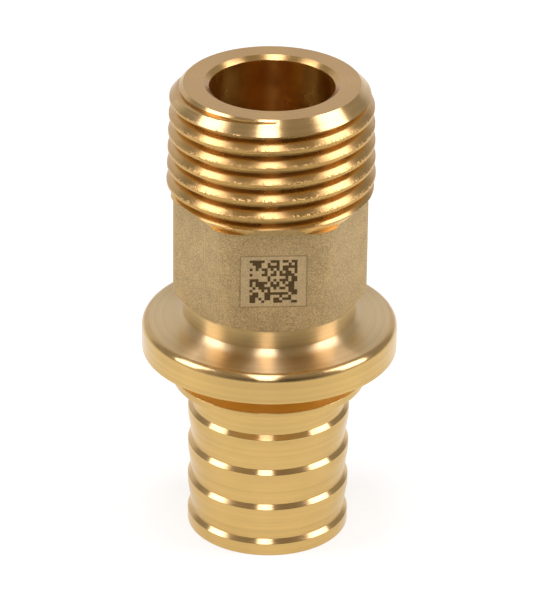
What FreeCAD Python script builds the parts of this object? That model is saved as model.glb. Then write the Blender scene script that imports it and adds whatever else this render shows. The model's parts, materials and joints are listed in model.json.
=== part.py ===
"""Brass male adapter for 20 mm crosslinked pipe: a barbed tail below, a taper thread above.

The piece is one forging, turned at both ends. It stands on its tail, +Z up the water bore,
with the origin on the bore axis in the plane of the tail's end face. Front is -Y, which the
marked flat of the hexagon faces. All lengths are millimetres.
"""
import FreeCAD, Part
import math
import os

import Sketcher

NODE = "adapter_body"

# Driving dimensions: name, value, meaning. Heights stack from the tail end upwards.
SIZES = [
    ("bore_diameter", 12.7, "water bore, straight through"),
    ("tail_diameter", 16.75, "barb crests, which hold the pipe"),
    ("tail_groove_depth", 0.42, "radial depth of the grooves between barbs"),
    ("tail_end_break", 0.1, "broken outer edge of the tail end"),
    ("end_land", 1.77, "from the tail end to the top of the lowest barb's shoulder"),
    ("barb_count", 4, "barbs on the tail"),
    ("barb_pitch", 4.09, "shoulder to shoulder"),
    ("barb_land", 0.9, "straight crest under each shoulder"),
    ("barb_shoulder", 45.0, "slope of the shoulders, degrees"),
    ("seat_gap", 2.86, "from the top barb to the stop ring"),
    ("stop_ring_diameter", 20.0, "ring the pipe end stops against"),
    ("stop_ring_thickness", 0.8, "its height"),
    ("relief_diameter", 16.2, "groove between stop ring and flange"),
    ("relief_height", 2.76, "its height"),
    ("flange_diameter", 26.3, "collar that the press tool bears on"),
    ("flange_rim", 3.1, "height of its rim"),
    ("flange_slope", 6.0, "fall of its upper face, degrees"),
    ("flange_rounding", 0.8, "rounding of its upper edge"),
    ("neck_diameter", 17.9, "turned neck between flange and hexagon"),
    ("neck_height", 1.93, "its height above the fillet at its foot"),
    ("neck_fillet", 1.38, "fillet between neck and flange"),
    ("fillet_tilt", 30.0, "lean of the fillet where it meets the neck in a crease, degrees"),
    ("hex_across_flats", 18.0, "forged wrench hexagon"),
    ("hex_corner_radius", 2.9, "rounding of its six corners"),
    ("hex_height", 10.86, "from the neck to the start of the flare"),
    ("hex_turn", 3.5, "turn of the marked flat about the axis, degrees"),
    ("hex_undercut", 31.0, "angle of the turned lower end of the corners, degrees"),
    ("flare_height", 1.677, "forged flare from hexagon to thread blank"),
    ("thread_length", 12.7, "from the start of the flare to the top face"),
    ("thread_top_diameter", 20.56, "thread crests, taken at the top face"),
    ("thread_taper", 16.0, "taper on diameter, one in this many"),
    ("thread_pitch", 1.8143, "14 turns to the inch"),
    ("thread_depth", 1.162, "crest to root, measured on radius"),
    ("thread_flank", 27.5, "half of the 55 degree thread angle"),
    ("thread_runout", 0.68, "lowest groove, above the start of the flare"),
    ("runout_seat_inset", 0.58, "the turned runout's foot, inside the top crests on radius"),
    ("runout_seat_rise", 0.24, "its height above the start of the flare"),
    ("runout_knee_outset", 0.02, "where the runout turns steeper, outside the top crests on radius"),
    ("runout_knee_rise", 1.04, "its height above the start of the flare"),
    ("runout_length", 2.0, "from the start of the flare to the full thread blank"),
    ("entry_chamfer", 1.33, "chamfer from the thread crests to the flat top face"),
    ("mouth_chamfer", 0.54, "bore chamfer at the top face, on radius"),
    ("mouth_depth", 0.39, "its depth"),
    ("tail_mouth_chamfer", 0.3, "bore chamfer at the tail end"),
]

doc = FreeCAD.newDocument("male_adapter")
sheet = doc.addObject("Spreadsheet::Sheet", "sizes")
for row, (alias, value, meaning) in enumerate(SIZES, start=1):
    sheet.set(f"A{row}", meaning)
    sheet.set(f"B{row}", str(value))
    sheet.setAlias(f"B{row}", alias)
doc.recompute()


class Size:
    """A number together with the sheet expression that gives it."""

    def __init__(self, value, text):
        self.value = value
        self.text = text

    def joined(self, sign, other, value):
        return Size(value, f"({self.text} {sign} {other.text})")

    def __add__(self, other):
        other = as_size(other)
        return self.joined("+", other, self.value + other.value)

    def __sub__(self, other):
        other = as_size(other)
        return self.joined("-", other, self.value - other.value)

    def __mul__(self, other):
        other = as_size(other)
        return self.joined("*", other, self.value * other.value)

    def __truediv__(self, other):
        other = as_size(other)
        return self.joined("/", other, self.value / other.value)

    def tan(self):
        return Size(math.tan(math.radians(self.value)), f"tan({self.text} * 1 deg)")

    def cos(self):
        return Size(math.cos(math.radians(self.value)), f"cos({self.text} * 1 deg)")

    def slope(self):
        """The angle, in degrees, whose tangent this is."""
        return Size(math.degrees(math.atan(self.value)), f"atan({self.text})")

    def sin(self):
        return Size(math.sin(math.radians(self.value)), f"sin({self.text} * 1 deg)")


def as_size(number):
    return number if isinstance(number, Size) else Size(number, str(number))


def size(alias):
    return Size(float(sheet.get(alias)), f"sizes.{alias}")


ZERO = as_size(0)
bore = size("bore_diameter") / 2
tail = size("tail_diameter") / 2
tail_root = tail - size("tail_groove_depth")
ring = size("stop_ring_diameter") / 2
relief = size("relief_diameter") / 2
flange = size("flange_diameter") / 2
neck = size("neck_diameter") / 2
apothem = size("hex_across_flats") / 2
thread_top = size("thread_top_diameter") / 2
entry = thread_top - size("entry_chamfer")
pitch = size("thread_pitch")

shoulder_height = size("tail_groove_depth") * size("barb_shoulder").tan()
top_shoulder = size("end_land") + size("barb_pitch") * (size("barb_count") - 1)
ring_bottom = top_shoulder + size("seat_gap")
ring_top = ring_bottom + size("stop_ring_thickness")
flange_bottom = ring_top + size("relief_height")
flange_edge = flange_bottom + size("flange_rim")

# The flange's fillet runs from its sloping face up to the crease, along tangents of equal reach
flange_slope = size("flange_slope")
fillet_tilt = size("fillet_tilt")
reach = size("neck_fillet") * ((as_size(90) - flange_slope - fillet_tilt) / 2).tan()
fillet_corner = neck + reach * fillet_tilt.sin()
fillet_corner_height = flange_edge + (flange - fillet_corner) * flange_slope.tan()
fillet_start = fillet_corner + reach * flange_slope.cos()
fillet_start_height = fillet_corner_height - reach * flange_slope.sin()
crease = fillet_corner_height + reach * fillet_tilt.cos()
hex_bottom = crease + size("neck_height")
flare_start = hex_bottom + size("hex_height")
top = flare_start + size("thread_length")


def crest(height):
    """Radius of the thread crests at a height: they widen downwards."""
    return thread_top + (top - height) / (size("thread_taper") * 2)


body = doc.addObject("PartDesign::Body", NODE)
body.Label = NODE
doc.recompute()


def origin_plane(role):
    return next(item for item in body.Origin.OriginFeatures if item.Role == role)


def tie(sketch, kind, geometry, end, length):
    """Hold a point's distance from the sketch origin to a sheet expression."""
    if length.text == ZERO.text:
        axis = -1 if kind == "DistanceY" else -2
        sketch.addConstraint(Sketcher.Constraint("PointOnObject", geometry, end, axis))
        return
    number = sketch.addConstraint(Sketcher.Constraint(kind, -1, 1, geometry, end, length.value))
    sketch.setExpression(f"Constraints[{number}]", length.text)


def arc_between(start, end, radius):
    """Short arc from start to end, bulging to the left of the way from one to the other."""
    chord = end - start
    half = chord.Length / 2
    rise = radius - math.sqrt(max(radius ** 2 - half ** 2, 0))
    side = FreeCAD.Vector(-chord.y, chord.x, 0).normalize()
    return Part.Arc(start, (start + end) / 2 + side * rise, end)


def outline(name, plane, corners):
    """Closed sketch through corners (x, y), or (x, y, radius) where an arc leads on to the next."""
    sketch = body.newObject("Sketcher::SketchObject", name)
    sketch.AttachmentSupport = [(origin_plane(plane), "")]
    sketch.MapMode = "FlatFace"
    points = [FreeCAD.Vector(corner[0].value, corner[1].value, 0) for corner in corners]
    ends = []
    for number, corner in enumerate(corners):
        start = points[number]
        end = points[(number + 1) % len(points)]
        if len(corner) == 3:
            sketch.addGeometry(arc_between(start, end, corner[2].value), False)
        else:
            sketch.addGeometry(Part.LineSegment(start, end), False)
        first = 1 if sketch.getPoint(number, 1).distanceToPoint(start) < 1e-6 else 2
        ends.append((first, 3 - first))
    for number, corner in enumerate(corners):
        following = (number + 1) % len(corners)
        sketch.addConstraint(
            Sketcher.Constraint("Coincident", number, ends[number][1], following, ends[following][0])
        )
        tie(sketch, "DistanceX", number, ends[number][0], corner[0])
        tie(sketch, "DistanceY", number, ends[number][0], corner[1])
        if len(corner) == 3:
            held = sketch.addConstraint(Sketcher.Constraint("Radius", number, corner[2].value))
            sketch.setExpression(f"Constraints[{held}]", corner[2].text)
    sketch.Visibility = False
    return sketch


def turned(kind, name, corners, plane="XZ_Plane"):
    """Add or cut a shape turned about the bore axis from its section (radius, height)."""
    sketch = outline(name + "_section", plane, corners)
    before = body.Shape.Volume if body.Shape.Solids else 0
    feature = body.newObject(f"PartDesign::{kind}", name)
    feature.Profile = sketch
    feature.ReferenceAxis = (sketch, ["V_Axis"])
    feature.Angle = 360
    settle(feature, before, adds=kind == "Revolution")
    return feature


def settle(feature, before, adds):
    """Recompute, and make sure that the feature added or took away material."""
    doc.recompute()
    gained = feature.Shape.Volume - before
    if (gained <= 0) == adds:
        raise RuntimeError(f"{feature.Name} changed the volume by {gained:.3f}")


def circles(shape, spots):
    """Names of the whole circles about the axis that have the given radii and heights."""
    names = []
    for number, edge in enumerate(shape.Edges, start=1):
        if not isinstance(edge.Curve, Part.Circle):
            continue
        for radius, height in spots:
            near = abs(edge.Curve.Radius - radius.value) < 1e-4
            if near and abs(edge.Curve.Center.z - height.value) < 1e-4:
                names.append(f"Edge{number}")
    return names


def rounded(name, spots, radius):
    """Round the turned edges at the given radii and heights."""
    base = body.Tip
    feature = body.newObject("PartDesign::Fillet", name)
    feature.Base = (base, circles(base.Shape, spots))
    feature.setExpression("Radius", radius.text)
    doc.recompute()
    return feature


def hexagon(name, height):
    """Sketch of the wrench hexagon at a height, its six corners rounded."""
    sketch = body.newObject("Sketcher::SketchObject", name)
    sketch.AttachmentSupport = [(origin_plane("XY_Plane"), "")]
    sketch.MapMode = "FlatFace"
    sketch.setExpression("AttachmentOffset.Base.z", height.text)
    radius = size("hex_corner_radius")
    side = apothem * 2 * as_size(30).tan()
    straight = side - radius * 2 * as_size(30).tan()
    turn = size("hex_turn")
    for number in range(6):
        facing = math.radians(-90 + turn.value + 60 * number)
        outward = FreeCAD.Vector(math.cos(facing), math.sin(facing), 0)
        along = FreeCAD.Vector(-outward.y, outward.x, 0)
        middle = outward * apothem.value
        reach = along * (straight.value / 2)
        sketch.addGeometry(Part.LineSegment(middle - reach, middle + reach), False)
    for number in range(6):
        corner = math.radians(-60 + turn.value + 60 * number)
        centre = FreeCAD.Vector(math.cos(corner), math.sin(corner), 0)
        centre *= (apothem.value - radius.value) / math.cos(math.radians(30))
        circle = Part.Circle(centre, FreeCAD.Vector(0, 0, 1), radius.value)
        half = math.radians(30)
        sketch.addGeometry(Part.ArcOfCircle(circle, corner - half, corner + half), False)
    for number in range(6):
        arc = 6 + number
        following = (number + 1) % 6
        sketch.addConstraint(Sketcher.Constraint("Tangent", number, 2, arc, 1))
        sketch.addConstraint(Sketcher.Constraint("Tangent", arc, 2, following, 1))
        if number:
            sketch.addConstraint(Sketcher.Constraint("Equal", 6, arc))
            sketch.addConstraint(Sketcher.Constraint("Equal", 0, number))
    held = sketch.addConstraint(Sketcher.Constraint("Radius", 6, radius.value))
    sketch.setExpression(f"Constraints[{held}]", radius.text)
    for number in (0, 2):
        held = sketch.addConstraint(Sketcher.Constraint("Distance", -1, 1, number, apothem.value))
        sketch.setExpression(f"Constraints[{held}]", apothem.text)
    held = sketch.addConstraint(Sketcher.Constraint("Distance", 0, straight.value))
    sketch.setExpression(f"Constraints[{held}]", straight.text)
    held = sketch.addConstraint(Sketcher.Constraint("Angle", 0, math.radians(turn.value)))
    sketch.setExpression(f"Constraints[{held}]", turn.text + " * 1 deg")
    sketch.Visibility = False
    return sketch


def padded(name, sketch, length, taper=None):
    """Raise a sketch along the axis, with its sides leaning outwards by taper degrees."""
    before = body.Shape.Volume
    feature = body.newObject("PartDesign::Pad", name)
    feature.Profile = sketch
    feature.setExpression("Length", length.text)
    if taper is not None:
        feature.setExpression("TaperAngle", taper.text)
    settle(feature, before, adds=True)
    return feature


# The turned tail, stop ring, flange and neck
end_break = size("tail_end_break")
turned("Revolution", "tail_and_flange", [
    (ZERO, ZERO),
    (tail - end_break, ZERO),
    (tail, end_break),
    (tail, top_shoulder - shoulder_height),
    (tail_root, top_shoulder),
    (tail_root, ring_bottom),
    (ring, ring_bottom),
    (ring, ring_top),
    (relief, ring_top),
    (relief, flange_bottom),
    (flange, flange_bottom),
    (flange, flange_edge),
    (fillet_start, fillet_start_height, size("neck_fillet")),
    (neck, crease),
    (neck, hex_bottom),
    (ZERO, hex_bottom),
])
rounded("flange_rounding", [(flange, flange_edge)], size("flange_rounding"))

# The forged hexagon and the flare up to the round thread blank
padded("hexagon", hexagon("hexagon_outline", hex_bottom), size("hex_height"))
flare_height = size("flare_height")
flare_top = flare_start + flare_height
flare_slope = ((crest(flare_start) - apothem) / flare_height).slope()
padded("flare", hexagon("flare_outline", flare_start), flare_height, flare_slope)

# The turned thread blank, with its entry chamfer at the top
chamfer_foot = top - size("entry_chamfer")
turned("Revolution", "thread_blank", [
    (ZERO, flare_top),
    (crest(flare_top), flare_top),
    (crest(chamfer_foot), chamfer_foot),
    (entry, top),
    (ZERO, top),
])

# Turning takes the flare's corners and the foot of the blank down to a runout of two cones
clear = size("flange_diameter")
seat_height = flare_start + size("runout_seat_rise")
runout_top = flare_start + size("runout_length")
turned("Groove", "runout_turning", [
    (thread_top - size("runout_seat_inset"), seat_height),
    (clear, seat_height),
    (clear, runout_top),
    (crest(runout_top), runout_top),
    (thread_top + size("runout_knee_outset"), flare_start + size("runout_knee_rise")),
])

# The corners' lower ends, undercut when the neck was turned
undercut_reach = apothem * as_size(0.2)
turned("Groove", "hex_undercut", [
    (apothem, hex_bottom),
    (apothem + undercut_reach, hex_bottom),
    (apothem + undercut_reach, hex_bottom + undercut_reach * size("hex_undercut").tan()),
])

# One groove between two barbs, repeated down the tail
lowest = size("end_land")
land_start = lowest + size("barb_pitch") - shoulder_height - size("barb_land")
clear_tail = tail + 1
turned("Groove", "barb_groove", [
    (tail, lowest - shoulder_height),
    (tail_root, lowest),
    (tail, land_start),
    (clear_tail, land_start),
    (clear_tail, lowest - shoulder_height),
])
groove = body.Tip
pattern = body.newObject("PartDesign::LinearPattern", "barb_grooves")
pattern.Originals = [groove]
pattern.Direction = (groove.Profile[0], ["V_Axis"])
pattern.setExpression("Length", (size("barb_pitch") * (size("barb_count") - 2)).text)
pattern.setExpression("Occurrences", (size("barb_count") - 1).text)
body.Tip = pattern
doc.recompute()

# The thread: one tapered right-hand groove, from the back of the runout up past the top face
depth = size("thread_depth")
flank = size("thread_flank").tan()
groove_foot = flare_start + size("thread_runout")
root = crest(groove_foot) - depth
floor_half = pitch / 4 - depth / 2 * flank
lip = depth / 12
mouth_half = floor_half + (depth + lip) * flank
thread_section = outline("thread_section", "YZ_Plane", [
    (root, groove_foot - floor_half),
    (root + depth + lip, groove_foot - mouth_half),
    (root + depth + lip, groove_foot + mouth_half),
    (root, groove_foot + floor_half),
])
doc.recompute()
before_thread = body.Shape.Volume
thread = body.newObject("PartDesign::SubtractiveHelix", "thread")
thread.Profile = thread_section
thread.ReferenceAxis = (thread_section, ["V_Axis"])
thread.Mode = 0
thread.setExpression("Pitch", pitch.text)
thread.setExpression("Height", (top - groove_foot + pitch).text)
thread.setExpression("Angle", f"-atan(0.5 / {size('thread_taper').text})")
thread.LeftHanded = False
thread.Reversed = False
settle(thread, before_thread, adds=False)

# The water bore, chamfered at both ends
tail_mouth = size("tail_mouth_chamfer")
turned("Groove", "water_bore", [
    (ZERO, ZERO),
    (bore + tail_mouth, ZERO),
    (bore, tail_mouth),
    (bore, top - size("mouth_depth")),
    (bore + size("mouth_chamfer"), top),
    (ZERO, top),
])

body.Placement = FreeCAD.Placement()
doc.recompute()

for item in doc.Objects:
    if "Invalid" in item.State or "Error" in item.State:
        raise RuntimeError(f"{item.Name} failed: {item.State}")
if body.Shape.isNull() or not body.Shape.isValid() or len(body.Shape.Solids) != 1:
    raise RuntimeError(f"{NODE} is not one valid solid")

os.makedirs("parts", exist_ok=True)
body.Shape.exportStep(f"parts/{NODE}.step")
box = body.Shape.optimalBoundingBox(False, False)
print(f"{NODE}: {box.XLength:.3f} x {box.YLength:.3f} x {box.ZLength:.3f} mm")
print(f"volume {body.Shape.Volume:.1f} mm3, {len(body.Shape.Faces)} faces")
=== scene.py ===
"""Brass male adapter for 20 mm pipe, dressed as in a studio photograph.

One solid piece: a barbed tail, a stop ring, a collar, a shot-blasted wrench hexagon and a tapered
pipe thread round a straight bore. The body's lengths are millimetres until its mesh is finished,
and the studio's are metres. The front is -Y, and the bore runs up +Z. Azimuths are turned from +X
towards +Y.
"""
import json
import math
from typing import NamedTuple

import bmesh
import bpy
from mathutils import Matrix, Vector, noise


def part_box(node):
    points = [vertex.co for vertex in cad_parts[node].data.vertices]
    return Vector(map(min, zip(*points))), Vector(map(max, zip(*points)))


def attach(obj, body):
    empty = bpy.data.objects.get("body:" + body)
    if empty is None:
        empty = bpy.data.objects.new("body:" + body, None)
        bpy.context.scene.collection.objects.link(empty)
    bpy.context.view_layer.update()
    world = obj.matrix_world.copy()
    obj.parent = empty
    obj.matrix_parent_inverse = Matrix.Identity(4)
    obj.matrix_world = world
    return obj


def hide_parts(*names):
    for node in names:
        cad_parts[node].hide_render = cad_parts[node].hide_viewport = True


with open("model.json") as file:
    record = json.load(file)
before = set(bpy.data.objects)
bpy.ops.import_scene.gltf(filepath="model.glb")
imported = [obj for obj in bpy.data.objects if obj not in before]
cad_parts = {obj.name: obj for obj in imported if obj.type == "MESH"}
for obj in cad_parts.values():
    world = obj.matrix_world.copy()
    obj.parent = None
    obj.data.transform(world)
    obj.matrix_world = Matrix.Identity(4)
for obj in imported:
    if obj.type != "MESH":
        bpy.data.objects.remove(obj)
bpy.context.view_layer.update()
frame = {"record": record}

bl_info = {
    "name": "Brass male adapter",
    "version": (1, 0, 0),
    "blender": (4, 5, 0),
    "location": "3D View > Sidebar > Adapter",
    "description": "Builds a turned and blasted brass pipe adapter and its studio",
    "category": "Object",
}

NODE = "adapter_body"
MM = 0.001
TURN = 2 * math.pi
# Vertices nearer than this, in millimetres, are one
MERGE = 0.001
# Vertices lie on one meridian within this many radians, and on a whole one within a share of a step
SAME_MERIDIAN, WHOLE_MERIDIAN = 0.001, 0.02
# Edges that turn by more than this stay crisp
SHARP = math.radians(32)
# A colour mix node's sockets: factor, the two colours, and the result
FACTOR, FIRST, SECOND, MIXED = 0, 6, 7, 2

MOUNTS = {mount["name"]: mount for mount in frame["record"]["mounts"]}
LOW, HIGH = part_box(NODE)
TOP = HIGH[2] / MM
WIDEST = (HIGH[0] - LOW[0]) / MM
BORE_RADIUS = MOUNTS["water_bore"]["dims"]["r_mm"]
TAIL_RADIUS = MOUNTS["pipe_tail"]["dims"]["r_mm"]
COLLAR_BOTTOM = MOUNTS["sleeve_stop"]["pos_m"][2] / MM


def length(name, description, millimetres):
    """A length that a user may change, kept in metres."""
    return bpy.props.FloatProperty(
        name=name, description=description, default=millimetres * MM, min=0.0, precision=5,
        subtype="DISTANCE", unit="LENGTH",
    )


def tone(name, description, colour):
    """A colour that a user may change, written as an sRGB hex value."""
    return bpy.props.FloatVectorProperty(
        name=name, description=description, default=linear(colour), size=4, min=0.0, max=1.0,
        subtype="COLOR",
    )


def linear(colour):
    """Linear RGBA of an sRGB hex value."""
    channels = []
    for start in (0, 2, 4):
        share = int(colour[start:start + 2], 16) / 255
        channels.append(share / 12.92 if share <= 0.04045 else ((share + 0.055) / 1.055) ** 2.4)
    return (*channels, 1.0)


class AdapterSizes(bpy.types.PropertyGroup):
    """Sizes of the brass body."""

    bore: length("Bore", "Diameter of the water bore", 2 * BORE_RADIUS)
    tail: length("Tail", "Diameter of the barb crests", 2 * TAIL_RADIUS)
    tail_groove: length("Tail groove", "Depth of the grooves between the barbs", 0.42)
    end_land: length("End land", "Height of the lowest barb's shoulder", 1.77)
    barb_pitch: length("Barb pitch", "From shoulder to shoulder", 4.09)
    barb_land: length("Barb land", "Straight crest below each shoulder", 0.9)
    ring: length("Stop ring", "Diameter of the ring that the pipe stops against", 20.0)
    ring_thickness: length("Ring thickness", "Height of the stop ring", 0.8)
    relief: length("Relief", "Diameter of the groove under the collar", 16.2)
    relief_height: length("Relief height", "Height of that groove", 2.76)
    rim: length("Collar rim", "Height of the collar's rim", 3.1)
    rim_rounding: length("Rim rounding", "Rounding of the collar's upper edge", 0.8)
    neck: length("Neck", "Diameter of the turned neck", 17.9)
    neck_fillet: length("Neck fillet", "Fillet between neck and collar", 1.38)
    flats: length("Across flats", "Width of the wrench hexagon", 18.0)
    corner_rounding: length("Corner rounding", "Rounding of the hexagon's corners", 2.9)
    thread_length: length("Thread length", "From the start of the flare to the top", 12.7)
    thread_top: length("Thread top", "Diameter of the thread crests at the top", 20.56)
    thread_pitch: length("Thread pitch", "14 turns to the inch", 1.8143)
    thread_depth: length("Thread depth", "From crest to root", 1.162)
    entry: length("Top face", "Outer diameter of the flat top face", 17.9)
    edge_break: length("Edge break", "Rounding of the turned edges", 0.07)
    burr: length("Crest burr", "Raggedness of the thread crests", 0.02)


class AdapterFinish(bpy.types.PropertyGroup):
    """Colours of the brass and of the studio."""

    turned: tone("Turned brass", "Bright metal under the lathe tool", "D3B06E")
    # Painted sheen: paler than the turned brass, so that the neck and the collar's top show bright
    # streaks the lamps alone leave too dim
    coarse_with_painted_sheen: tone("Coarse brass", "Neck and collar, cut with a heavier feed", "DABD80")
    # Painted light: paler than the turned brass, to lift the shade in the groove under the collar
    # and on the runout's foot
    relief_painted_light: tone("Relieved brass", "Pale cut under the collar and at the thread's foot", "EBC984")
    # Painted shade: a deeper colour that stands in for light bouncing between the bore's walls
    bore_painted_bounce: tone("Bored brass", "Deeper colour of the bore, where light bounces more", "E4B34A")
    # Painted shade: deeper than the turned brass, standing in for light that bounces between the
    # thread's flanks
    chased_with_painted_shade: tone("Thread brass", "Deeper colour between the threads", "CAA35E")
    blasted: tone("Blasted brass", "Dull skin left by the shot", "CBB17B")
    cleaned: tone("Cleaned brass", "Patch that the laser cleaned", "DCC79B")
    marked: tone("Marked brass", "Cells that the laser darkened", "4A3616")
    floor: tone("Floor", "Studio floor, a little warm against the cool lamps", "A8A892")


def softened(corners, steps=4):
    """Points of an outline; a corner (x, y, rounding) becomes an arc of that radius."""
    points = []
    for number, corner in enumerate(corners):
        spot = Vector(corner[:2])
        if len(corner) == 2 or not 0 < number < len(corners) - 1:
            points.append(spot)
            continue
        before = Vector(corners[number - 1][:2]) - spot
        after = Vector(corners[number + 1][:2]) - spot
        opening = before.angle(after)
        reach = corner[2] / math.tan(opening / 2)
        centre = spot + (before.normalized() + after.normalized()).normalized() * (
            corner[2] / math.sin(opening / 2))
        start = spot + before.normalized() * reach - centre
        end = spot + after.normalized() * reach - centre
        sweep = start.angle_signed(end)
        for step in range(steps + 1):
            points.append(centre + Matrix.Rotation(-sweep * step / steps, 2) @ start)
    return points


def divided(points, longest):
    """The same outline with its long stretches divided."""
    finer = [points[0]]
    for start, end in zip(points, points[1:]):
        parts = max(1, math.ceil((end - start).length / longest))
        finer += [start.lerp(end, part / parts) for part in range(1, parts + 1)]
    return finer


class Shape:
    """The body's outline, in millimetres, worked out from its sizes."""

    segments = 300

    # Bore: the chamfer at its upper mouth, and the one at the tail's end
    mouth_width, mouth_depth = 0.54, 0.39
    tail_mouth = 0.3

    # Tail: the cone behind each barb blends into its crest
    barbs = 4
    barb_shoulder = math.radians(45)
    crest_blend = 1.2
    tail_break = 0.1

    # Collar, neck and hexagon
    collar_slope = math.radians(6)
    crease_tilt = math.radians(30)
    neck_height = 1.93
    flat_turn = math.radians(3.5)
    undercut = math.radians(31)
    wall_levels = 6
    flare_reach = 3

    # Thread: its land is a share of the pitch, and its lower flank starts as a rounded shoulder
    land_share = 6
    flank = math.radians(27.5)
    flank_shoulder, shoulder_rounding, root_rise = 0.55, 0.4, 0.13
    taper = 16
    groove_rise, groove_fade = 0.68, 0.1

    # Runout: (radius, height above the start of the flare) of its foot and of its knee
    runout = [(9.7, 0.24), (10.3, 1.04)]
    runout_length = 2.0

    # Burrs: how far from the land's edges, then (waves per millimetre, share) of their noise
    burr_reach, crest_margin = 0.06, 0.02
    burr_waves = ((2.3, 1.0), (6.1, 0.6))

    # Marked patch: (width, height), place on the flat, outline, and its square field of cells
    patch, patch_aside, patch_rise = (6.8, 5.8), -0.2, 5.75
    outline, field, cell = 0.12, 4.8, 0.3

    def __init__(self, sizes):
        for key in AdapterSizes.__annotations__:
            setattr(self, key, getattr(sizes, key) / MM)
        self.flare = TOP - self.thread_length
        self.seat = self.flare + self.runout[0][1]
        self.collar_edge = COLLAR_BOTTOM + self.rim
        self.ring_top = COLLAR_BOTTOM - self.relief_height
        # The collar's fillet meets the neck in a crease, its tangent there still tilted
        reach = self.neck_fillet * math.tan((TURN / 4 - self.collar_slope - self.crease_tilt) / 2)
        foot = self.neck / 2 + reach * math.sin(self.crease_tilt)
        foot_height = self.collar_edge + (WIDEST / 2 - foot) * math.tan(self.collar_slope)
        self.collar_foot = (foot, foot_height, self.neck_fillet)
        self.crease = foot_height + reach * math.cos(self.crease_tilt)
        self.hex_bottom = self.crease + self.neck_height

    def crest(self, height):
        """Radius of the thread crests: they widen downwards."""
        return self.thread_top / 2 + (TOP - height) / (2 * self.taper)

    def hexagon(self, azimuth, grown=0.0):
        """Distance from the axis to the hexagon, its walls moved out by grown."""
        sector = TURN / 6
        off_flat = (azimuth + TURN / 4 - self.flat_turn + sector / 2) % sector - sector / 2
        apothem = self.flats / 2
        corner = self.corner_rounding
        if (apothem + grown) * math.tan(abs(off_flat)) <= (apothem - corner) * math.tan(sector / 2):
            return (apothem + grown) / math.cos(off_flat)
        off_corner = sector / 2 - abs(off_flat)
        centre = (apothem - corner) / math.cos(sector / 2)
        across = centre * math.sin(off_corner)
        return centre * math.cos(off_corner) + math.sqrt((corner + grown) ** 2 - across ** 2)

    def turned_limit(self, height):
        """Radius that the entry chamfer and the runout leave at a height above the seat."""
        limit = self.entry / 2 + TOP - height
        steps = [(radius, self.flare + rise) for radius, rise in self.runout]
        end = self.flare + self.runout_length
        steps.append((self.crest(end), end))
        for (low_radius, low), (high_radius, high) in zip(steps, steps[1:]):
            if height < high:
                share = (height - low) / (high - low)
                return min(limit, low_radius + (high_radius - low_radius) * share)
        return limit

    def lathe_outline(self):
        """From the bore's upper mouth, down the bore, round the tail and up to the hexagon."""
        edge = self.edge_break
        bore, tail, ring = self.bore / 2, self.tail / 2, self.ring / 2
        root = tail - self.tail_groove
        ring_bottom = self.ring_top - self.ring_thickness
        relief, collar, neck = self.relief / 2, WIDEST / 2, self.neck / 2
        corners = [
            (bore + self.mouth_width, TOP),
            (bore, TOP - self.mouth_depth, edge),
            (bore, self.tail_mouth, edge),
            (bore + self.tail_mouth, 0, edge),
            (tail, 0, self.tail_break),
        ]
        shoulder_height = self.tail_groove * math.tan(self.barb_shoulder)
        for barb in range(self.barbs):
            shoulder = self.end_land + self.barb_pitch * barb
            crest_end = shoulder - shoulder_height
            if barb:
                corners.append((tail, crest_end - self.barb_land, self.crest_blend))
            corners.append((tail, crest_end, edge))
            corners.append((root, shoulder, edge))
        return corners + [
            (root, ring_bottom, edge),
            (ring, ring_bottom, edge),
            (ring, self.ring_top, edge),
            (relief, self.ring_top, edge),
            (relief, COLLAR_BOTTOM, edge),
            (collar, COLLAR_BOTTOM, edge),
            (collar, self.collar_edge, self.rim_rounding),
            self.collar_foot,
            (neck, self.crease),
            (neck, self.hex_bottom),
        ]

    def thread_outline(self):
        """One pitch of the thread from crest to crest: (offset from the crest, height)."""
        land = self.thread_pitch / self.land_share
        fall = self.thread_depth * math.tan(self.flank)
        shoulder = self.flank_shoulder
        corners = [
            (0, 0),
            (0, land / 2),
            (-shoulder, land / 2 + shoulder, self.shoulder_rounding),
            (-self.thread_depth, land / 2 + shoulder + self.root_rise),
            (-self.thread_depth, self.thread_pitch - land / 2 - fall),
            (0, self.thread_pitch - land / 2),
            (0, self.thread_pitch),
        ]
        return divided(softened(corners, steps=3), self.thread_depth / 3)


def laid(bm, outline, tag=None, values=()):
    """A chain of vertices along an outline (radius, height), each with its value under tag."""
    chain = [bm.verts.new((radius, 0, height)) for radius, height in outline]
    for vertex, value in zip(chain, values):
        vertex[tag] = value
    links = [bm.edges.new(pair) for pair in zip(chain, chain[1:])]
    return chain + links


def spun(bm, chain, segments):
    """Turn a chain once about the axis."""
    bmesh.ops.spin(
        bm, geom=chain, cent=(0, 0, 0), axis=(0, 0, 1), angle=TURN, steps=segments,
        use_merge=True, use_duplicate=False,
    )


def placed(vertex, radius, height=None):
    """Move a vertex to a radius, and to a height, on its own azimuth."""
    here = vertex.co.xy.normalized() * radius
    vertex.co = (here.x, here.y, vertex.co.z if height is None else height)


def azimuth_of(point):
    """Turn about the axis, from +X towards +Y."""
    return math.atan2(point.y, point.x)


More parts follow.
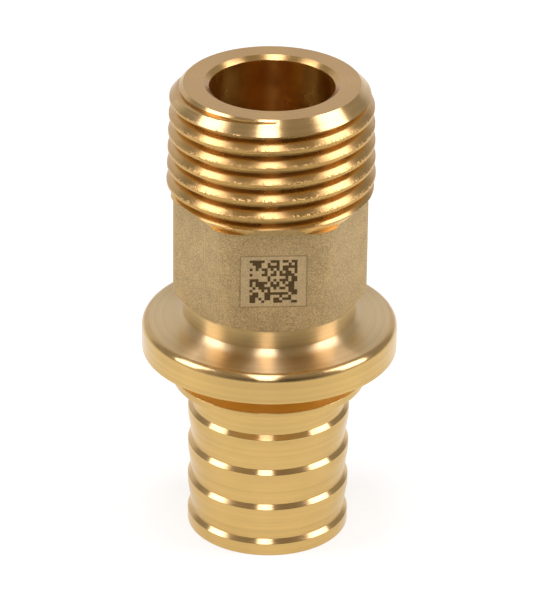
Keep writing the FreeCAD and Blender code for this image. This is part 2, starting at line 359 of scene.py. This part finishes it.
def turned_part(bm, shape):
    """Bore, tail, ring, collar and neck, with the walls of the hexagon up to the runout's seat."""
    rise = bm.verts.layers.float.new("rise")
    outline = softened(shape.lathe_outline())
    # Stand-ins for the walls, one vertex to a level; each is moved to its place once spun
    levels = shape.wall_levels
    walls = [(shape.flats / 2, shape.hex_bottom)]
    walls += [(shape.flats / 2 + 1, shape.hex_bottom + level) for level in range(1, levels + 2)]
    values = [0.0] * (len(outline) + 1) + [float(level) for level in range(1, levels + 2)]
    spun(bm, laid(bm, outline + walls, rise, values), shape.segments)
    for vertex in bm.verts:
        level = vertex[rise]
        if not level:
            continue
        azimuth = azimuth_of(vertex.co)
        radius = shape.hexagon(azimuth)
        low = shape.hex_bottom + (radius - shape.flats / 2) * math.tan(shape.undercut)
        if level <= levels:
            share = (level - 1) / (levels - 1)
            placed(vertex, radius, low + (shape.flare - low) * share)
        else:
            placed(vertex, shape.hexagon(azimuth, shape.seat - shape.flare), shape.seat)


def threaded_part(bm, shape):
    """The thread, wound up from below the runout and cut off at the seat and the top face."""
    pitch = shape.thread_pitch
    place = bm.verts.layers.float.new("place")
    crest = bm.verts.layers.float.new("crest")
    outline = shape.thread_outline()
    reach = shape.thread_top / 2
    # The lowest groove's middle stands at groove_rise at the back of the body. The winding starts a
    # turn below that groove, so that it passes the seat all round
    back = TURN / 4
    first_crest = shape.flare + shape.groove_rise - 1.5 * pitch
    turns = math.ceil((TOP - first_crest) / pitch)
    chain = laid(
        bm, [(reach + offset, first_crest + height) for offset, height in outline],
        place, [height for offset, height in outline],
    )
    verts = [item for item in chain if isinstance(item, bmesh.types.BMVert)]
    bmesh.ops.rotate(bm, verts=verts, cent=(0, 0, 0), matrix=Matrix.Rotation(back, 3, "Z"))
    bmesh.ops.spin(
        bm, geom=chain, cent=(0, 0, 0), axis=(0, 0, 1), dvec=(0, 0, pitch / shape.segments),
        angle=TURN, steps=shape.segments, use_merge=False, use_duplicate=False,
    )
    # One turn is wound, and the others are copies of it
    first_turn = bm.verts[:] + bm.edges[:] + bm.faces[:]
    for turn in range(1, turns):
        copy = bmesh.ops.duplicate(bm, geom=first_turn)["geom"]
        verts = [item for item in copy if isinstance(item, bmesh.types.BMVert)]
        bmesh.ops.translate(bm, verts=verts, vec=(0, 0, pitch * turn))
    bmesh.ops.remove_doubles(bm, verts=bm.verts, dist=MERGE)
    # Each vertex takes its taper, the fading of the lowest groove, its burr and the turned blank
    land = pitch / shape.land_share / 2
    start = shape.flare + shape.groove_rise
    bm.verts.index_update()
    wound = []
    for vertex in bm.verts:
        height = vertex.co.z
        along = vertex[place]
        middle = height - along + pitch / 2
        depth = min(max((middle - start) / shape.groove_fade + 1, 0), 1)
        radius = shape.crest(height) + (vertex.co.xy.length - reach) * depth
        if min(abs(along - land), abs(along - pitch + land)) < shape.burr_reach:
            grain = sum(share * noise.noise(vertex.co * waves) for waves, share in shape.burr_waves)
            radius += min(grain, 0) * shape.burr
        azimuth = azimuth_of(vertex.co)
        limit = shape.turned_limit(height)
        if height < shape.flare + shape.flare_reach:
            limit = min(limit, shape.hexagon(azimuth, max(height - shape.flare, 0)))
        on_crest = min(along, pitch - along) < land + shape.crest_margin
        vertex[crest] = float(on_crest and radius < limit)
        wound.append((azimuth, radius, height, radius - limit))
        placed(vertex, min(radius, limit))
    crisp_cut(bm, wound)
    for height, above in ((TOP, True), (shape.seat, False)):
        bmesh.ops.bisect_plane(
            bm, geom=bm.verts[:] + bm.edges[:] + bm.faces[:], dist=MERGE / 10,
            plane_co=(0, 0, height), plane_no=(0, 0, 1), clear_outer=above, clear_inner=not above,
        )
        weld_to_meridians(bm, shape, height)


def crisp_cut(bm, wound):
    """Slide vertices along their meridian to where the wound thread meets the turned blank."""
    for edge in bm.edges:
        inside, outside = sorted(edge.verts, key=lambda v: wound[v.index][3])
        azimuth, radius, height, under = wound[inside.index]
        far_azimuth, far_radius, far_height, over = wound[outside.index]
        if under >= 0 or over <= 0 or abs(azimuth - far_azimuth) > SAME_MERIDIAN:
            continue
        share = under / (under - over)
        nearest = inside if share < 0.5 else outside
        meeting = radius + (far_radius - radius) * share
        placed(nearest, meeting, height + (far_height - height) * share)


def weld_to_meridians(bm, shape, height):
    """Take the cut edge's stray vertices into their nearest neighbours on whole meridians."""
    rim = [v for v in bm.verts if v.is_boundary and abs(v.co.z - height) < MERGE]
    step = TURN / shape.segments
    kept = {}
    strays = []
    for vertex in rim:
        number = azimuth_of(vertex.co) / step
        if abs(number - round(number)) < WHOLE_MERIDIAN:
            kept[round(number) % shape.segments] = vertex
        else:
            strays.append(vertex)
    targets = {v: kept[round(azimuth_of(v.co) / step) % shape.segments] for v in strays}
    bmesh.ops.weld_verts(bm, targetmap=targets)


def rim_edges(bm, height):
    """The open edges at a height."""
    return [
        edge for edge in bm.edges
        if edge.is_boundary and all(abs(v.co.z - height) < MERGE for v in edge.verts)
    ]


def joined(target, source):
    """Add one bmesh's geometry to another."""
    carrier = bpy.data.meshes.new("carrier")
    source.to_mesh(carrier)
    target.from_mesh(carrier)
    bpy.data.meshes.remove(carrier)
    source.free()


def body_mesh(shape):
    """The whole body as one closed mesh."""
    bm = bmesh.new()
    turned_part(bm, shape)
    thread = bmesh.new()
    threaded_part(thread, shape)
    joined(bm, thread)
    for height in (TOP, shape.seat):
        bmesh.ops.bridge_loops(bm, edges=rim_edges(bm, height))
    bmesh.ops.remove_doubles(bm, verts=bm.verts, dist=MERGE / 2)
    bmesh.ops.recalc_face_normals(bm, faces=bm.faces)
    assign_finishes(bm, shape)
    for edge in bm.edges:
        edge.smooth = len(edge.link_faces) == 2 and edge.calc_face_angle() < SHARP
    bmesh.ops.scale(bm, verts=bm.verts, vec=(MM, MM, MM))
    mesh = bpy.data.meshes.new("brass_body")
    bm.to_mesh(mesh)
    open_edges = sum(1 for edge in bm.edges if not edge.is_manifold)
    bm.free()
    if open_edges:
        raise RuntimeError(f"the body has {open_edges} open edges")
    return mesh


# The finishes, in the order of the body's material slots
TURNED, COARSE_PAINTED_SHEEN, CHASED_PAINTED_SHADE, BLASTED, BORE_PAINTED_BOUNCE, RELIEF_PAINTED_LIGHT = range(6)
# How far from the turned blank, and from the hexagon's walls, a face still counts as part of it
BLANK_MARGIN, WALL_MARGIN = 0.01, 0.03
# The most that a face's normal may rise on the bore's wall, and on the hexagon's
BORE_RISE, WALL_RISE = 0.5, 0.9


def assign_finishes(bm, shape):
    """Give each face its finish."""
    for face in bm.faces:
        face.smooth = True
        face.material_index = finish_of(face, shape)


def finish_of(face, shape):
    """A face's finish, read from where it lies."""
    middle = face.calc_center_median()
    radius = middle.xy.length
    above = middle.z - shape.flare
    near_axis = radius < shape.bore / 2 + shape.mouth_width
    # The bore's wall, in the deeper colour that paints the shade of light bouncing inside it
    if near_axis and face.normal.xy.dot(middle.xy) < 0 and abs(face.normal.z) < BORE_RISE:
        return BORE_PAINTED_BOUNCE
    if not near_axis and shape.hex_bottom < middle.z and above < shape.flare_reach:
        wall = shape.hexagon(azimuth_of(middle), max(above, 0))
        if abs(radius - wall) < WALL_MARGIN and abs(face.normal.z) < WALL_RISE:
            return BLASTED
    under_blank = radius < shape.turned_limit(middle.z) - BLANK_MARGIN
    # On the thread: the runout's foot takes the paler colour that paints light into its shade, the
    # rest the deeper colour that paints shade
    if above > 0 and (under_blank or above < shape.runout_length):
        knee_rise = shape.runout[1][1]
        return RELIEF_PAINTED_LIGHT if above < knee_rise else CHASED_PAINTED_SHADE
    # Neck and collar top: the coarse cut, in a paler colour that paints sheen
    within_rim = radius < WIDEST / 2 - shape.rim_rounding
    if shape.collar_edge < middle.z < shape.hex_bottom and within_rim:
        return COARSE_PAINTED_SHEEN
    # The groove under the collar, in the paler colour that paints light into its shade
    if shape.ring_top < middle.z <= COLLAR_BOTTOM + MERGE:
        return RELIEF_PAINTED_LIGHT
    return TURNED


class Cut(NamedTuple):
    """How a tool left the metal: its rings' spacing and depth are millimetres."""

    name: str
    roughness: float
    stretch: float
    spacing: float
    depth: float


# Fine feed on the tail, the rims and the end faces: clear, narrow streaks
FINE_CUT = Cut("turned_brass", roughness=0.21, stretch=0.88, spacing=0.5, depth=0.006)
# Heavy feed on the neck and the collar's top: broad, dull streaks that run together; its paler
# colour is painted sheen
HEAVY_CUT = Cut("coarse_turned_brass_painted_sheen", roughness=0.32, stretch=1.0, spacing=0.2, depth=0.01)
# Thread cut in passes, a little torn: softer streaks. Its deeper colour is painted shade, for light
# bouncing between the flanks
THREAD_CUT = Cut("chased_brass_painted_shade", roughness=0.27, stretch=0.8, spacing=0.3, depth=0.006)
# Drilled and reamed: the bore's walls mirror each other. Its deepest colour is painted shade, for
# light bouncing between them
BORE_CUT = Cut("bored_brass_painted_bounce", roughness=0.24, stretch=0.85, spacing=0.3, depth=0.004)
# Plunged with a form tool under the collar and at the thread's foot: an even shine. Its pale colour
# is painted light, lifting the shade in the groove under the collar and on the runout's foot
PLUNGE_CUT = Cut("relief_brass_painted_light", roughness=0.3, stretch=0.85, spacing=0.3, depth=0.006)


def added(nodes, kind, settings=None, inputs=None):
    """Add a node, set its properties, and give each input a value, an output or a node's first."""
    node = nodes.nodes.new(kind)
    for key, value in (settings or {}).items():
        setattr(node, key, value)
    for key, value in (inputs or {}).items():
        if isinstance(value, bpy.types.Node):
            value = value.outputs[0]
        if isinstance(value, bpy.types.NodeSocket):
            nodes.links.new(value, node.inputs[key])
        else:
            node.inputs[key].default_value = value
    return node


def new_material(name):
    """An empty material with its shader and output in place."""
    material = bpy.data.materials.new(name)
    material.use_nodes = True
    return material, material.node_tree, material.node_tree.nodes["Principled BSDF"]


def turned_brass(colour, cut):
    """Free-cutting brass under a lathe tool: fine rings round the axis draw each light out into a
    streak across them. A coarse cut is rougher and draws it out further, so its stretch is higher.
    The feed leaves rings about 0.1 mm apart; they are drawn 0.2 to 0.5 mm apart, so that they show.
    """
    material, nodes, shader = new_material(cut.name)
    place = added(nodes, "ShaderNodeTexCoord").outputs["Object"]
    level = added(nodes, "ShaderNodeVectorMath", {"operation": "MULTIPLY"},
                  {0: place, 1: (1, 1, 0)})
    radius = added(nodes, "ShaderNodeVectorMath", {"operation": "LENGTH"}, {0: level})
    height = added(nodes, "ShaderNodeSeparateXYZ", inputs={0: place})
    rings = added(nodes, "ShaderNodeCombineXYZ", inputs={
        0: radius.outputs["Value"], 1: height.outputs["Z"]})
    lines = added(nodes, "ShaderNodeTexNoise", inputs={
        "Vector": rings, "Scale": 1 / (cut.spacing * MM), "Detail": 3.0, "Roughness": 0.6})
    bump = added(nodes, "ShaderNodeBump", inputs={
        "Height": lines, "Strength": 1.0, "Distance": cut.depth * MM})

    # Burrs about 0.2 mm wide and 0.03 mm deep, where the tool tore the crests
    crest = added(nodes, "ShaderNodeAttribute", {"attribute_name": "crest"})
    grain = added(nodes, "ShaderNodeTexNoise", inputs={
        "Vector": place, "Scale": 1 / (0.22 * MM), "Detail": 2.0, "Roughness": 0.6})
    burrs = added(nodes, "ShaderNodeMapRange", inputs={
        "Value": grain, "From Min": 0.52, "From Max": 0.72})
    ragged = added(nodes, "ShaderNodeBump", inputs={
        "Height": burrs, "Strength": crest.outputs["Fac"], "Distance": 0.03 * MM, "Normal": bump})

    # Faint rings, and clouds of about 4 mm where handling has dulled the metal
    cloud = added(nodes, "ShaderNodeTexNoise", inputs={
        "Vector": place, "Scale": 1 / (4 * MM), "Detail": 4.0, "Roughness": 0.6})
    mottle = added(nodes, "ShaderNodeMix", inputs={0: 0.55, 2: cloud, 3: lines})
    shade = added(nodes, "ShaderNodeMapRange", inputs={
        "Value": mottle, "From Min": 0.38, "From Max": 0.62, "To Min": 0.91, "To Max": 1.05})
    tint = added(nodes, "ShaderNodeMix", {"data_type": "RGBA", "blend_type": "MULTIPLY"},
                 {FACTOR: 1.0, FIRST: colour, SECOND: shade})
    rough = added(nodes, "ShaderNodeMapRange", inputs={
        "Value": cloud, "From Min": 0.3, "From Max": 0.7,
        "To Min": cut.roughness * 0.85, "To Max": cut.roughness * 1.2})

    # The rings run round the axis, and so does the grain that stretches the lights
    around = added(nodes, "ShaderNodeVectorMath", {"operation": "CROSS_PRODUCT"},
                   {0: (0, 0, 1), 1: place})
    turned = added(nodes, "ShaderNodeVectorTransform",
                   {"vector_type": "VECTOR", "convert_from": "OBJECT", "convert_to": "WORLD"},
                   {0: around})
    tangent = added(nodes, "ShaderNodeVectorMath", {"operation": "NORMALIZE"}, {0: turned})
    shader.inputs["Metallic"].default_value = 1.0
    shader.inputs["Anisotropic"].default_value = cut.stretch
    shader.inputs["Anisotropic Rotation"].default_value = 0.25
    nodes.links.new(tangent.outputs[0], shader.inputs["Tangent"])
    nodes.links.new(tint.outputs[MIXED], shader.inputs["Base Color"])
    nodes.links.new(rough.outputs[0], shader.inputs["Roughness"])
    nodes.links.new(ragged.outputs[0], shader.inputs["Normal"])
    return material


def inside_box(nodes, across, up, width, height, soft):
    """1 within a rectangle about the origin, falling to 0 over a soft edge."""
    sides = []
    for offset, half in ((across, width / 2), (up, height / 2)):
        off = added(nodes, "ShaderNodeMath", {"operation": "ABSOLUTE"}, {0: offset})
        sides.append(added(nodes, "ShaderNodeMapRange", inputs={
            "Value": off, "From Min": (half - soft) * MM, "From Max": (half + soft) * MM,
            "To Min": 1.0, "To Max": 0.0}))
    return added(nodes, "ShaderNodeMath", {"operation": "MULTIPLY"}, {0: sides[0], 1: sides[1]})


def marked_patch(nodes, place, skin, finish, shape):
    """Lay the laser's patch over the skin, on the front flat alone."""
    middle = (shape.hex_bottom + shape.patch_rise) * MM
    onto_flat = added(nodes, "ShaderNodeMapping", inputs={
        0: place, "Location": (-shape.patch_aside * MM, 0, -middle),
        "Rotation": (0, 0, -shape.flat_turn)})
    across, toward, up = added(nodes, "ShaderNodeSeparateXYZ", inputs={0: onto_flat}).outputs
    front = added(nodes, "ShaderNodeMath", {"operation": "LESS_THAN"},
                  {0: toward, 1: -shape.flats / 2 * 0.9 * MM})
    width, height = shape.patch
    edge = 2 * shape.outline
    outer = inside_box(nodes, across, up, width, height, 0.05)
    inner = inside_box(nodes, across, up, width - edge, height - edge, 0.05)
    outline = added(nodes, "ShaderNodeMath", {"operation": "SUBTRACT"}, {0: outer, 1: inner})

    # Cells that a fixed pattern of chance numbers fills, 58 in 100 of them: they hold no message
    grid = added(nodes, "ShaderNodeVectorMath", {"operation": "MULTIPLY"},
                 {0: onto_flat, 1: (1 / (shape.cell * MM), 0, 1 / (shape.cell * MM))})
    corner = added(nodes, "ShaderNodeVectorMath", {"operation": "FLOOR"}, {0: grid})
    dice = added(nodes, "ShaderNodeTexWhiteNoise", {"noise_dimensions": "3D"}, {0: corner})
    filled = added(nodes, "ShaderNodeMath", {"operation": "GREATER_THAN"}, {0: dice, 1: 0.42})
    field = inside_box(nodes, across, up, shape.field, shape.field, 0.03)
    cells = added(nodes, "ShaderNodeMath", {"operation": "MULTIPLY"}, {0: filled, 1: field})

    colour = skin
    for cover, strength, paint in (
        (outline, 0.45, finish.marked), (inner, 0.3, finish.cleaned), (cells, 0.9, finish.marked),
    ):
        cover = added(nodes, "ShaderNodeMath", {"operation": "MULTIPLY"}, {0: cover, 1: front})
        share = added(nodes, "ShaderNodeMath", {"operation": "MULTIPLY"}, {0: cover, 1: strength})
        layer = added(nodes, "ShaderNodeMix", {"data_type": "RGBA"},
                      {FACTOR: share, FIRST: colour, SECOND: paint})
        colour = layer.outputs[MIXED]
    return colour


def blasted_brass(finish, shape):
    """Hot-forged brass, shot-blasted: a dull skin of fine dimples, with a patch that a laser first
    cleaned bright and then filled with small dark cells. Dimples of 0.1 mm are drawn 0.16 mm wide,
    so that they show.
    """
    material, nodes, shader = new_material("shot_blasted_brass")
    place = added(nodes, "ShaderNodeTexCoord").outputs["Object"]
    dimples = added(nodes, "ShaderNodeTexNoise", inputs={
        "Vector": place, "Scale": 1 / (0.16 * MM), "Detail": 2.0, "Roughness": 0.7})
    bump = added(nodes, "ShaderNodeBump", inputs={
        "Height": dimples, "Strength": 1.0, "Distance": 0.15 * MM})

    # Mostly the dimples' own speckle, a quarter of it clouds of 2.5 mm
    cloud = added(nodes, "ShaderNodeTexNoise", inputs={
        "Vector": place, "Scale": 1 / (2.5 * MM), "Detail": 5.0, "Roughness": 0.65})
    speckle = added(nodes, "ShaderNodeMix", inputs={0: 0.25, 2: dimples, 3: cloud})
    shade = added(nodes, "ShaderNodeMapRange", inputs={
        "Value": speckle, "From Min": 0.35, "From Max": 0.65, "To Min": 0.6, "To Max": 1.18})
    tint = added(nodes, "ShaderNodeMix", {"data_type": "RGBA", "blend_type": "MULTIPLY"},
                 {FACTOR: 1.0, FIRST: finish.blasted, SECOND: shade})
    skin = marked_patch(nodes, place, tint.outputs[MIXED], finish, shape)
    shader.inputs["Metallic"].default_value = 1.0
    shader.inputs["Roughness"].default_value = 0.6
    nodes.links.new(skin, shader.inputs["Base Color"])
    nodes.links.new(bump.outputs[0], shader.inputs["Normal"])
    return material


class ADAPTER_OT_body(bpy.types.Operator):
    """Build the brass body in place of the plain solid"""

    bl_idname = "adapter.body"
    bl_label = "Brass body"

    def execute(self, context):
        scene = context.scene
        finish = scene.adapter_finish
        shape = Shape(scene.adapter_sizes)
        mesh = body_mesh(shape)
        body = bpy.data.objects.new("brass_body", mesh)
        scene.collection.objects.link(body)
        for skin in (
            turned_brass(finish.turned, FINE_CUT),
            turned_brass(finish.coarse_with_painted_sheen, HEAVY_CUT),
            turned_brass(finish.chased_with_painted_shade, THREAD_CUT),
            blasted_brass(finish, shape),
            turned_brass(finish.bore_painted_bounce, BORE_CUT),
            turned_brass(finish.relief_painted_light, PLUNGE_CUT),
        ):
            mesh.materials.append(skin)
        even = body.modifiers.new("even_shading", "WEIGHTED_NORMAL")
        even.keep_sharp = True
        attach(body, "root")
        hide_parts(NODE)
        return {"FINISHED"}


LAMP_COLOUR, LAMP_RADIANCE = (1.0, 0.98, 1.4), 4.4
# What the metal mirrors, from behind the camera to behind the object: dark, grey, then cool white
ROOM = (
    (0, (0.03, 0.028, 0.027)),
    (0.27, (0.42, 0.38, 0.4)),
    (0.79, (0.4, 0.39, 0.45)),
    (0.88, (0.79, 0.79, 0.98)),
    (1, (0.82, 0.82, 1.0)),
)


def softbox(scene, name, middle, along, size):
    """A rectangular lamp at middle, facing the object, its length lying along a direction."""
    lamp = bpy.data.lights.new(name, "AREA")
    lamp.shape = "RECTANGLE"
    lamp.size, lamp.size_y = size
    lamp.energy = LAMP_RADIANCE * math.pi * math.prod(size)
    lamp.color = LAMP_COLOUR
    fitting = bpy.data.objects.new(name, lamp)
    back = Vector(middle).normalized()
    side = Vector(along).cross(back).normalized()
    upright = back.cross(side)
    fitting.matrix_world = Matrix((side, upright, back)).transposed().to_4x4()
    fitting.location = middle
    scene.collection.objects.link(fitting)


def studio_world(scene):
    """White to the camera; for reflections, brighter behind the object than before it."""
    world = bpy.data.worlds.new("studio")
    world.use_nodes = True
    scene.world = world
    nodes = world.node_tree
    background = nodes.nodes["Background"]
    place = added(nodes, "ShaderNodeTexCoord").outputs["Generated"]
    # From 0 behind the camera to 1 behind the object, a little askew
    ahead = added(nodes, "ShaderNodeVectorMath", {"operation": "DOT_PRODUCT"},
                  {0: place, 1: (-0.075, 0.5, 0)})
    depth = added(nodes, "ShaderNodeMath", {"operation": "ADD"},
                  {0: ahead.outputs["Value"], 1: 0.5})
    ramp = added(nodes, "ShaderNodeValToRGB", inputs={0: depth})
    stops = ramp.color_ramp.elements
    for share, _ in ROOM[1:-1]:
        stops.new(share)
    for stop, (_, colour) in zip(stops, ROOM):
        stop.color = (*colour, 1)
    seen = added(nodes, "ShaderNodeLightPath").outputs["Is Camera Ray"]
    shown = added(nodes, "ShaderNodeMix", {"data_type": "RGBA"},
                  {FACTOR: seen, FIRST: ramp, SECOND: (1, 1, 1, 1)})
    nodes.links.new(shown.outputs[MIXED], background.inputs["Color"])


def floor_material(colour):
    """Matt white paper under plain light, lifted to white where it is seen or mirrored."""
    material, nodes, shader = new_material("studio_paper")
    shader.inputs["Base Color"].default_value = colour
    shader.inputs["Roughness"].default_value = 0.9
    path = added(nodes, "ShaderNodeLightPath").outputs
    seen = added(nodes, "ShaderNodeMath", {"operation": "MAXIMUM"},
                 {0: path["Is Camera Ray"], 1: path["Is Glossy Ray"]})
    place = added(nodes, "ShaderNodeTexCoord").outputs["Object"]
    across = added(nodes, "ShaderNodeSeparateXYZ", inputs={0: place})
    # Mirrored in the metal, the sheet is dimmer near its front end: painted shade, where the lamps'
    # light falls off towards the camera
    mirrored = added(nodes, "ShaderNodeMapRange", inputs={
        "Value": across.outputs["Y"], "From Min": -0.06, "From Max": -0.03,
        "To Min": 0.44, "To Max": 0.6})
    direct = added(nodes, "ShaderNodeMath", {"operation": "MULTIPLY"},
                   {0: path["Is Camera Ray"], 1: 0.62})
    white = added(nodes, "ShaderNodeMath", {"operation": "MAXIMUM"}, {0: mirrored, 1: direct})
    lift = added(nodes, "ShaderNodeMath", {"operation": "MULTIPLY"}, {0: seen, 1: white})
    shader.inputs["Emission Color"].default_value = (1, 1, 1, 1)
    nodes.links.new(lift.outputs[0], shader.inputs["Emission Strength"])
    return material


class ADAPTER_OT_studio(bpy.types.Operator):
    """Lay the floor, hang the lamps and set the camera"""

    bl_idname = "adapter.studio"
    bl_label = "Studio"

    # Camera fitted to the photograph: place in metres, turns in radians, focal length and picture
    # height in pixels, sensor height in millimetres
    camera_distance, camera_height = 0.39333, 0.22839
    tilt, pan, roll = 0.4758, 0.0018, 0.0118
    focal, picture_height = 4305.7, 597
    sensor_height = 24
    # The sheet's side, and how far it reaches before the object, in metres
    sheet, sheet_front = 4.0, 0.16
    # Each lamp's name, middle and the way its length lies, then its width and length in metres
    lamps = (
        ("middle_strip", (-0.024, -0.263, 0.517), (0, 1, 0.78), (0.15, 0.92)),
        ("left_softbox", (-0.531, -0.05, 0.453), (0.317, 0.192, 0.393), (0.27, 0.54)),
        ("right_softbox", (0.541, -0.02, 0.453), (-0.324, 0.192, 0.393), (0.32, 0.54)),
    )

    def execute(self, context):
        scene = context.scene
        # The sheet ends a little before the object, so that the metal mirrors the dark room there
        bm = bmesh.new()
        bmesh.ops.create_grid(bm, x_segments=1, y_segments=1, size=self.sheet / 2)
        bmesh.ops.translate(bm, verts=bm.verts, vec=(0, self.sheet / 2 - self.sheet_front, 0))
        mesh = bpy.data.meshes.new("floor")
        bm.to_mesh(mesh)
        bm.free()
        floor = bpy.data.objects.new("floor", mesh)
        mesh.materials.append(floor_material(scene.adapter_finish.floor))
        scene.collection.objects.link(floor)
        studio_world(scene)
        for lamp in self.lamps:
            softbox(scene, *lamp)
        self.set_camera(scene)
        scene.view_settings.view_transform = "Standard"
        return {"FINISHED"}

    def set_camera(self, scene):
        """Stand the camera before the object, looking down at it."""
        lens = bpy.data.cameras.new("camera")
        camera = bpy.data.objects.new("camera", lens)
        scene.collection.objects.link(camera)
        forward = Vector((0, math.cos(self.tilt), -math.sin(self.tilt)))
        upward = Vector((0, math.sin(self.tilt), math.cos(self.tilt)))
        sideways = Vector((1, 0, 0))
        swing = Matrix.Rotation(-self.pan, 3, upward)
        forward, sideways = swing @ forward, swing @ sideways
        lean = Matrix.Rotation(-self.roll, 3, forward)
        sideways, upward = lean @ sideways, lean @ upward
        axes = Matrix((sideways, upward, -forward)).transposed().to_4x4()
        axes.translation = (0, -self.camera_distance, self.camera_height)
        camera.matrix_world = axes
        lens.sensor_fit = "VERTICAL"
        lens.sensor_height = self.sensor_height
        lens.lens = self.focal * self.sensor_height / self.picture_height
        scene.camera = camera


class ADAPTER_PT_panel(bpy.types.Panel):
    """The adapter's pieces, sizes and colours"""

    bl_idname = "ADAPTER_PT_panel"
    bl_label = "Brass adapter"
    bl_space_type = "VIEW_3D"
    bl_region_type = "UI"
    bl_category = "Adapter"

    def draw(self, context):
        layout = self.layout
        for operator in OPERATORS:
            layout.operator(operator.bl_idname)
        for group in (context.scene.adapter_sizes, context.scene.adapter_finish):
            column = layout.column()
            for key in group.__annotations__:
                column.prop(group, key)


OPERATORS = (ADAPTER_OT_body, ADAPTER_OT_studio)
CLASSES = (AdapterSizes, AdapterFinish, *OPERATORS, ADAPTER_PT_panel)


def register():
    for kind in CLASSES:
        bpy.utils.register_class(kind)
    bpy.types.Scene.adapter_sizes = bpy.props.PointerProperty(type=AdapterSizes)
    bpy.types.Scene.adapter_finish = bpy.props.PointerProperty(type=AdapterFinish)


def unregister():
    del bpy.types.Scene.adapter_finish
    del bpy.types.Scene.adapter_sizes
    for kind in reversed(CLASSES):
        bpy.utils.unregister_class(kind)


def main():
    """Build the body and its studio."""
    register()
    bpy.ops.adapter.body()
    bpy.ops.adapter.studio()


if __name__ == "__main__":
    main()
